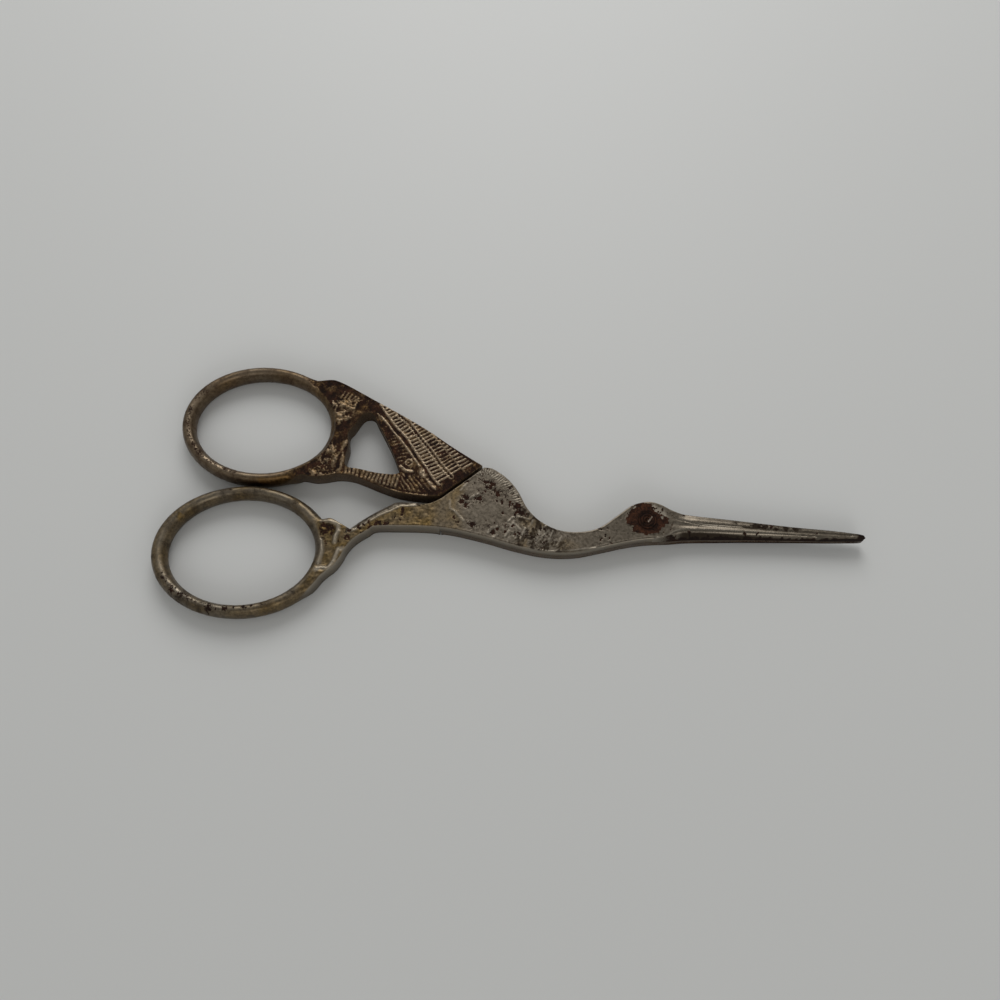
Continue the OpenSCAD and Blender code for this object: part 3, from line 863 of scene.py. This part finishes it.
def put_masks(piece, plan_masks, plan, top, wall_dirt_and_shade):
    """Stores masks of the plan on the piece's vertices, as point attributes. Walls and the
    underside are plain, with some brown and dirt, and painted shade that turns black where the wall level is near
    1."""
    tree = plan_tree(plan * MM)
    nearest = np.array([tree.find((v.co.x, v.co.y, 0))[1] for v in piece.data.vertices])
    height = np.array([v.co.z / MM for v in piece.data.vertices])
    upper = rise(-0.5, -0.1, height - top[nearest])
    cloud = noise(plan, 1.3, 82)[nearest]
    wall_dirt_and_shade = wall_dirt_and_shade[nearest] * mix(0.5, 1, rise(0.1, 0.4, height))
    # Painted shade: walls given a level near 1 are painted black, through the rust mask.
    black_shade = 0.4 * rise(0.85, 1, wall_dirt_and_shade)
    plain = named(0.14 + 0.32 * wall_dirt_and_shade + black_shade + 0.16 * cloud, 0.45 + 0.3 * cloud, wall_dirt_and_shade - 0.15 * cloud,
                  0 * cloud, 0.3 + 0 * cloud)
    seen = {name: values[nearest] for name, values in plan_masks.items()}
    store(piece.data, merge(plain, seen, upper))


def make_front():
    loops = oriented(section("front_half", UPPER_CUT))
    rim = Rim(loops)
    seat = arc(SEAT_R, turns(SEAT_TURNS))
    step = arc(FRONT_STEP_R, np.radians(np.arange(120, 241, 0.4)))
    ring = (FRONT_RING, FRONT_IN, FRONT_OUT, FRONT_TURN)

    def on_ring(p):
        share, angle = ring_place(p, *ring)
        return (share < 1) & ~((angle > -50) & (angle < 56))

    def on_body(p):
        return (p[:, 0] > PIVOT[0] - 28) & (p[:, 0] < PIVOT[0] - 11)

    def busy(p):
        return (p[:, 0] < PIVOT[0] - 6) & ~on_ring(p) & ~on_body(p)

    loose = np.concatenate([
        rim_rows(loops, rim),
        fill_points(loops, rim, [
            (0.092, on_body),
            (0.12, busy),
            (0.15, lambda p: (p[:, 0] >= PIVOT[0] - 6) & (p[:, 0] < PIVOT[0] + 5.2)),
        ]),
        ring_rows(*ring),
        bill_rows(loops[0], rim),
    ])
    gap = norm(loose - PIVOT)
    loose = loose[(gap > SEAT_R + 0.06) & (np.abs(gap - FRONT_STEP_R) > 0.04)]
    loose = loose[rim.distance(loose) > NEAREST_POINTS]
    plan, triangles = triangulate(loops + [seat], [step], loose)
    middle = plan[triangles].mean(1)
    reach = norm(middle - PIVOT)
    region = np.where((reach < FRONT_STEP_R) | (middle[:, 0] > PIVOT[0]), 1, 0)
    region[reach < SEAT_R] = 2
    region[~within(middle, loops)] = -1

    q = plan - PIVOT
    away = rim.distance(plan)
    drop_slivers(region, plan, triangles, away)
    share, angle = ring_place(plan, *ring)
    weight = blend_ring(share, angle, -34, 22)
    wire = wire_share(plan, loops, FRONT_RING)
    bill = bill_share(plan, loops[0])
    relief, masks = front_relief(q, bill)
    ahead = rise(3, 5, q[:, 0])
    flat = THICK - rounding(away, mix(0.26, 0.1, ahead)) + relief * rise(0.05, 0.35, away) * (1 - 0.7 * ahead)
    flat -= upper_blade(q, away, bill)
    flat = most(flat, UPPER_BOTTOM + 0.08)
    top = np.minimum(mix(MID_Z + wire_height(wire), flat, weight), THICK + 0.06)
    bottom = mix(MID_Z - wire_height(wire), rounding(away, foot_radius(q)), weight)
    whole = np.full(len(plan), 1.0)
    plan = fuller_bill(plan, loops[0])
    piece = make_solid("front_half_shell", plan, triangles, region, {
        0: (top, bottom),
        1: (top, UPPER_BOTTOM * whole),
        2: ((THICK - SEAT_DEPTH) * whole, UPPER_BOTTOM * whole),
    })
    finish = ring_finish(plan, wire, angle % 360, 60, 205, 240)
    ring_pits = blobs(q, FRONT_RING_PITS, 64)
    gold = blobs(q, [GOLD_SPOT], 91)
    lift(finish, rust=0.85 * ring_pits, deep=0.8 * ring_pits, tint=gold)
    dim(finish, 1 - gold, "deep", "rust", "wear_and_sheen")
    on_bill = rise(0, 5, q[:, 0])
    # The rim of the body and legs is lightened, as worn edges with a painted highlight line. The rim of the bill
    # is darkened as painted shade.
    masks = rim_wear_and_painted_light(masks, away, 0.6 * (1 - on_bill), mix(0.1, 1.0, on_bill))
    # Painted shade: a dark ragged line along the bill's lower edge, put into the dark and rust masks.
    edge_shade = on_bill * fall(0.04, 0.14, bill + 0.08 * noise(q, 0.35, 90))
    lift(masks, deep=edge_shade, rust=0.8 * edge_shade)
    # The bill's walls get the full wall level, so they are painted black as shade.
    put_masks(piece, merge(finish, masks, weight), plan, top, mix(0.35, 1.0, on_bill))
    return piece


def make_back():
    loops = oriented(section("back_half", LOWER_CUT))
    rim = Rim(loops)
    upper = oriented(section("back_half", UPPER_CUT))
    upper_rim = Rim(upper)
    free = rim.distance(upper[0]) > 0.01
    start = int(np.argmax(~free & np.roll(free, -1)))
    seam = np.roll(upper[0], -start, axis=0)
    seam = seam[:int(np.argmax(np.roll(free, -start)[1:] < 0.5)) + 2]
    ring = (BACK_RING, BACK_IN, BACK_OUT, 0.0)

    def on_ring(p):
        share, angle = ring_place(p, *ring)
        return (share < 1) & ~((angle > -70) & (angle < 66))

    def on_wing(p):
        return (p[:, 0] < PIVOT[0] - 24) & (p[:, 0] > PIVOT[0] - 49.5) & ~on_ring(p)

    way = np.gradient(seam, axis=0)
    inward = left_of(way)
    seam_rows = [seam + inward * step for step in RIM_STEPS]
    seam_rows = np.concatenate([row[upper_rim.distance(row) > 0.9 * step]
                                for row, step in zip(seam_rows, RIM_STEPS)])
    grids = fill_points(loops, rim, [(0.095, on_wing), (0.3, lambda p: (p[:, 0] >= PIVOT[0] - 24))])
    grids = grids[upper_rim.distance(grids) > 0.34]
    loose = np.concatenate([rim_rows(loops, rim), seam_rows, grids, ring_rows(*ring)])
    loose = loose[(rim.distance(loose) > NEAREST_POINTS) & (upper_rim.distance(loose) > NEAREST_POINTS)]
    plan, triangles = triangulate(loops, [seam], loose)
    middle = plan[triangles].mean(1)
    region = np.where(inside(middle, upper[0]) | (middle[:, 0] < PIVOT[0] - 33), 0, 1)
    region[~within(middle, loops)] = -1

    q = plan - PIVOT
    away, upper_away = rim.distance(plan), upper_rim.distance(plan)
    drop_slivers(region, plan, triangles, away)
    share, angle = ring_place(plan, *ring)
    weight = blend_ring(share, angle, -56, 50)
    wire = wire_share(plan, loops, BACK_RING)
    relief, masks = wing_relief(q)
    flat = THICK - rounding(upper_away, 0.3) + relief * rise(0.02, 0.3, upper_away)
    top = mix(MID_Z + wire_height(wire), flat, weight)
    bottom = mix(MID_Z - wire_height(wire), rounding(away, foot_radius(q)), weight)
    bill = back_bill_height(q, bill_share(plan, loops[0]))
    bottom = mix(bottom, np.minimum(bill, LOWER_TOP - 0.08), rise(3.4, 7.5, q[:, 0]))
    plan = fuller_bill(plan, loops[0])
    piece = make_solid("back_half_shell", plan, triangles, region, {
        0: (top, bottom),
        1: (np.full(len(plan), LOWER_TOP), bottom),
    })
    blade = 1.0 - (inside(plan, upper[0]) | (upper_away < 0.01))
    plain = named(0.2 + 0.3 * noise(q, 1.7, 80), 0.3 + 0.2 * noise(q, 2.5, 83), 0.2 + 0.3 * noise(q, 1.4, 81),
                  0 * away, 0.4 + 0 * away)
    masks = merge(masks, {name: unit(values) for name, values in plain.items()}, blade)
    finish = ring_finish(plan, wire, angle % 360, 70, 150, 260)
    amber = window(268, 318, 12, angle % 360) * rise(0.4, 0.7, wire)
    lift(finish, tint=amber)
    dim(finish, 1 - 0.7 * amber, "deep")
    outer = fall(1.0, 1.6, line_place(q, WING_RIM)[0])
    # Painted highlight line along the wing's outer rim, with worn edges.
    masks = rim_wear_and_painted_light(masks, upper_away, 0.6 * outer * (1 - blade), mix(0.5, 0.1, outer))
    on_frame = rise(-46, -40, q[:, 0]) * (1 - blade)
    # Wall level: dirt on the frame's walls, and painted shade on the bill's walls.
    wall_dirt_and_shade = most(0.38 + 0.42 * on_frame, rise(0, 5, q[:, 0]))
    seen = mix(top, LOWER_TOP, blade)
    put_masks(piece, merge(finish, masks, weight), plan, seen, wall_dirt_and_shade)
    return piece


# The screw


SCREW_TURNS = 96
SCREW_GROOVES = 6.5
SCREW_SHARP_DEGREES = 50
SLOT_TURN = math.radians(60)


def make_screw():
    """The screw: a head with turned rings and what is left of its slot, on a plain shank."""
    low, high = (in_mm(corner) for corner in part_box("pivot_screw"))
    head_r = (high[0] - low[0]) / 2
    shank_r = BORE_R - BLADE_GAP
    seat = THICK - SEAT_DEPTH + BLADE_GAP
    profile = [(0, low[2]), (shank_r - 0.1, low[2]), (shank_r, low[2] + 0.1), (shank_r, seat), (head_r, seat)]
    for share in np.linspace(1, 0, 40):
        dome = THICK + 0.04 + 0.15 * (1 - share ** 2)
        rings = 0.06 * math.cos(share * SCREW_GROOVES * math.pi)
        profile.append((head_r * share, dome + rings * (share < 0.99) - 0.05 * (share > 0.97)))
    points, faces = [], []
    for radius, height in profile:
        points += [(*(PIVOT + radius * np.array([math.cos(a), math.sin(a)])), height)
                   for a in turns(SCREW_TURNS)]
    for row in range(len(profile) - 1):
        for i in range(SCREW_TURNS):
            j = (i + 1) % SCREW_TURNS
            here, after = row * SCREW_TURNS, (row + 1) * SCREW_TURNS
            faces.append((here + i, here + j, after + j, after + i))
    mesh = bpy.data.meshes.new("pivot_screw_rusted")
    points = np.array(points)
    slot_way = np.array([math.cos(SLOT_TURN), math.sin(SLOT_TURN)])
    offset = points[:, :2] - PIVOT
    across = offset @ np.array([-slot_way[1], slot_way[0]])
    on_top = points[:, 2] > THICK - 0.1
    points[:, 2] -= on_top * 0.14 * bump(across - 0.15, 0.16) * (norm(offset) < head_r * 0.62)
    mesh.from_pydata((points * MM).tolist(), [], faces)
    tidy = bmesh.new()
    tidy.from_mesh(mesh)
    bmesh.ops.remove_doubles(tidy, verts=tidy.verts, dist=1e-8)
    bmesh.ops.recalc_face_normals(tidy, faces=tidy.faces)
    tidy.to_mesh(mesh)
    tidy.free()
    mesh.shade_smooth()
    mesh.set_sharp_from_angle(angle=math.radians(SCREW_SHARP_DEGREES))
    at = np.array([v.co for v in mesh.vertices]) / MM
    offset = at[:, :2] - PIVOT
    share = norm(offset) / head_r
    # Painted glint on the slot's edge: a bright, polished streak with no rust.
    slot_edge_glint = bump(line_place(offset, [(0.15, -0.3), (0.62, 0.5)])[0], 0.2) * (at[:, 2] > THICK)
    grooves = unit(-np.cos(share * SCREW_GROOVES * math.pi))
    deep = (0.35 + 0.6 * grooves) * (1 - slot_edge_glint)
    store(mesh, named(0.95 - 0.95 * slot_edge_glint, 0.6 - 0.6 * slot_edge_glint, deep, slot_edge_glint, slot_edge_glint))
    return add_object(mesh.name, mesh)


# Materials


class Nodes:
    """Short ways to add the nodes of one material."""

    def __init__(self, name):
        self.material = bpy.data.materials.new(name)
        self.material.use_nodes = True
        self.tree = self.material.node_tree
        self.shader = self.tree.nodes["Principled BSDF"]
        self.place = self.tree.nodes.new("ShaderNodeTexCoord").outputs["Object"]

    def put(self, socket, value):
        if isinstance(value, bpy.types.NodeSocket):
            self.tree.links.new(value, socket)
        elif isinstance(value, (tuple, list)):
            socket.default_value = (*value, 1)
        else:
            socket.default_value = value

    def node(self, kind, inputs, output=0, **settings):
        """One new node with its settings and inputs, and the output asked for."""
        node = self.tree.nodes.new("ShaderNode" + kind)
        for name, setting in settings.items():
            setattr(node, name, setting)
        for key, value in inputs.items():
            self.put(node.inputs[key], value)
        return node.outputs[output]

    def attribute(self, name):
        return self.node("Attribute", {}, "Fac", attribute_name=name)

    def height(self):
        return self.node("SeparateXYZ", {0: self.place}, 2)

    def noise(self, size, detail=4.0, rough=0.55):
        """Noise from 0 to 1 with features of that size in mm."""
        inputs = {"Vector": self.place, "Scale": 1 / (size * MM), "Detail": detail, "Roughness": rough}
        return self.node("TexNoise", inputs, "Fac")

    def math(self, kind, a, b=0.0):
        return self.node("Math", {0: a, 1: b}, operation=kind)

    def times(self, a, b):
        return self.math("MULTIPLY", a, b)

    def plus(self, a, b):
        return self.math("ADD", a, b)

    def minus(self, a, b):
        return self.math("SUBTRACT", a, b)

    def span(self, value, low, high, to_low=0.0, to_high=1.0):
        """Value from low..high onto to_low..to_high, smoothly and clamped."""
        inputs = dict(enumerate((value, low, high, to_low, to_high)))
        return self.node("MapRange", inputs, interpolation_type="SMOOTHSTEP")

    def blend(self, share, a, b):
        return self.node("Mix", {0: share, 6: a, 7: b}, 2, data_type="RGBA")

    def bump(self, height, distance, strength=1.0, normal=None):
        inputs = {"Strength": strength, "Distance": distance * MM, "Height": height}
        if normal is not None:
            inputs["Normal"] = normal
        return self.node("Bump", inputs)


def aged_metal(name, dark, light, bright, stain, dirt_and_shade_tone):
    """Worn plating over steel, with a golden stain, rust, dirt in the grooves and painted shade, and worn high
    spots and painted highlights.
    """
    n = Nodes(name)
    n.shader.inputs["Specular IOR Level"].default_value = 0.14
    polish = n.attribute("polish")
    dull = n.minus(1.0, n.times(polish, 0.85))
    grain = n.noise(0.12, 3, 0.6)
    speck = n.noise(0.45, 5, 0.66)
    patch = n.noise(3.0, 3, 0.5)
    metal = n.blend(n.plus(n.span(speck, 0.32, 0.68, 0, 0.7), n.span(patch, 0.3, 0.7, 0, 0.3)), dark, light)
    metal = n.blend(n.times(n.span(grain, 0.45, 0.75, 0, 0.3), dull), metal, tuple(0.3 * c for c in dark))
    tint = n.times(n.attribute("tint"), n.span(patch, 0.3, 0.65, 0.4, 0.9))
    metal = n.blend(tint, metal, n.blend(n.span(speck, 0.35, 0.7), tuple(0.35 * c for c in stain), stain))
    metal = n.blend(n.times(polish, 0.5), metal, tuple(0.85 * c for c in light))
    # Worn plating and painted highlight lines both take the bright colour.
    wear_and_sheen = n.times(n.attribute("wear_and_sheen"), n.span(grain, 0.25, 0.6, 0.55, 1))
    metal = n.blend(wear_and_sheen, metal, bright)
    # Painted contact shade: darker towards the bottom of the walls, near the floor. It joins the dark mask, so the
    # dirt colour paints this shade too.
    contact_shade = n.span(n.height(), 0.1 * MM, 1.1 * MM, 0.75, 0)
    deep = n.math("MAXIMUM", n.attribute("deep"), contact_shade)
    deep = n.span(n.plus(deep, n.span(grain, 0.2, 0.8, -0.2, 0.2)), 0.1, 0.95)
    metal = n.blend(n.times(deep, 0.96), metal, dirt_and_shade_tone)
    ragged = n.plus(n.attribute("rust"), n.span(n.noise(0.26, 5, 0.72), 0.2, 0.8, -0.35, 0.35))
    rusty = n.span(ragged, 0.42, 0.6)
    flaking = n.plus(n.times(n.noise(0.18, 5, 0.78), 0.6), n.times(n.noise(0.9, 3, 0.6), 0.4))
    flake = n.blend(n.span(flaking, 0.38, 0.64), (0.007, 0.003, 0.002), (0.075, 0.028, 0.013))
    flake = n.blend(n.times(n.attribute("deep"), 0.9), flake, (0.008, 0.004, 0.0025))
    n.put(n.shader.inputs["Base Color"], n.blend(rusty, metal, flake))
    clean = n.minus(1.0, n.math("MAXIMUM", rusty, n.times(deep, 0.78)))
    n.put(n.shader.inputs["Metallic"], clean)
    smooth = n.minus(n.span(speck, 0.3, 0.7, 0.36, 0.5), n.times(polish, 0.16))
    n.put(n.shader.inputs["Roughness"], n.span(clean, 0, 1, 0.85, smooth))
    fine = n.bump(n.times(n.noise(0.15, 4, 0.65), dull), 0.018, 0.6)
    n.put(n.shader.inputs["Normal"], n.bump(n.times(rusty, n.noise(0.2, 5, 0.75)), 0.08, 0.8, fine))
    return n.material


def floor_paint():
    n = Nodes("pale_floor")
    n.shader.inputs["Base Color"].default_value = (0.63, 0.635, 0.625, 1)
    n.shader.inputs["Roughness"].default_value = 0.55
    return n.material


# Stage, lights and camera


def make_stage():
    mesh = bpy.data.meshes.new("floor")
    half = 1.5
    corners = [(-half, -half, 0), (half, -half, 0), (half, half, 0), (-half, half, 0)]
    mesh.from_pydata(corners, [], [(0, 1, 2, 3)])
    floor = add_object("floor", mesh)
    floor.location.z = -0.03 * MM
    mesh.materials.append(floor_paint())


def area_light(name, place, size, power):
    """Round lamp that points at the middle of the part."""
    lamp = bpy.data.lights.new(name, "AREA")
    lamp.shape = "DISK"
    lamp.size = size
    lamp.energy = power
    light = add_object(name, lamp)
    light.location = place
    light.rotation_euler = (-Vector(place)).to_track_quat("-Z", "Y").to_euler()


def make_world():
    """Soft surround, brightest a little below half height and dimmer overhead and low down."""
    world = bpy.data.worlds.new("studio")
    world.use_nodes = True
    tree = world.node_tree
    place = tree.nodes.new("ShaderNodeTexCoord")
    split = tree.nodes.new("ShaderNodeSeparateXYZ")
    ramp = tree.nodes.new("ShaderNodeValToRGB")
    tree.links.new(place.outputs["Generated"], split.inputs[0])
    tree.links.new(split.outputs[2], ramp.inputs[0])
    tree.links.new(ramp.outputs[0], tree.nodes["Background"].inputs["Color"])
    steps = ((0.0, 0.3), (0.25, 0.7), (0.45, 0.9), (0.65, 0.75), (0.82, 0.37), (1.0, 0.33))
    for index, (height, level) in enumerate(steps):
        stop = ramp.color_ramp.elements[index] if index < 2 else ramp.color_ramp.elements.new(height)
        stop.position = height
        stop.color = (level, level, level * 0.98, 1)
    tree.nodes["Background"].inputs["Strength"].default_value = 0.72
    bpy.context.scene.world = world


def make_lights():
    area_light("window", (-0.03, 0.38, 0.32), 0.34, 1.0)
    area_light("low_window", (0.16, -0.55, 0.3), 0.3, 0.45)
    make_world()


def make_camera():
    """Camera at the photograph's angle: 22.1 degrees off straight down, 136 mm up."""
    tilt, turn = math.radians(22.1), math.radians(5)
    lens = bpy.data.cameras.new("camera")
    lens.lens = 36
    lens.sensor_width = 36
    lens.clip_start = 0.005
    camera = add_object("camera", lens)
    camera.location = (0.002954, -0.0531, 0.136)
    camera.rotation_euler = (tilt, 0, turn)
    bpy.context.scene.camera = camera


# Everything together

make_camera()
make_stage()
make_lights()
nickel = aged_metal("worn_nickel", (0.083, 0.067, 0.049), (0.2, 0.17, 0.132), (0.46, 0.41, 0.335),
                    (0.24, 0.155, 0.052), (0.024, 0.015, 0.008))
rusted = aged_metal("rusted_nickel", (0.08, 0.054, 0.032), (0.2, 0.155, 0.105), (0.44, 0.35, 0.25),
                    (0.19, 0.105, 0.032), (0.033, 0.014, 0.006))
screw_rust = aged_metal("rusted_screw", (0.06, 0.045, 0.035), (0.2, 0.16, 0.13), (0.3, 0.25, 0.2),
                        (0.2, 0.1, 0.05), (0.02, 0.012, 0.007))

for piece, node, body, slot, material in (
        (make_front(), "front_half", "front", "worn_nickel", nickel),
        (make_back(), "back_half", "back", "rusted_nickel", rusted),
        (make_screw(), "pivot_screw", "back", "rusted_screw", screw_rust)):
    piece.data.materials.append(material)
    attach(piece, body)
    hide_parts(node)

bpy.context.scene.view_settings.view_transform = "Standard"
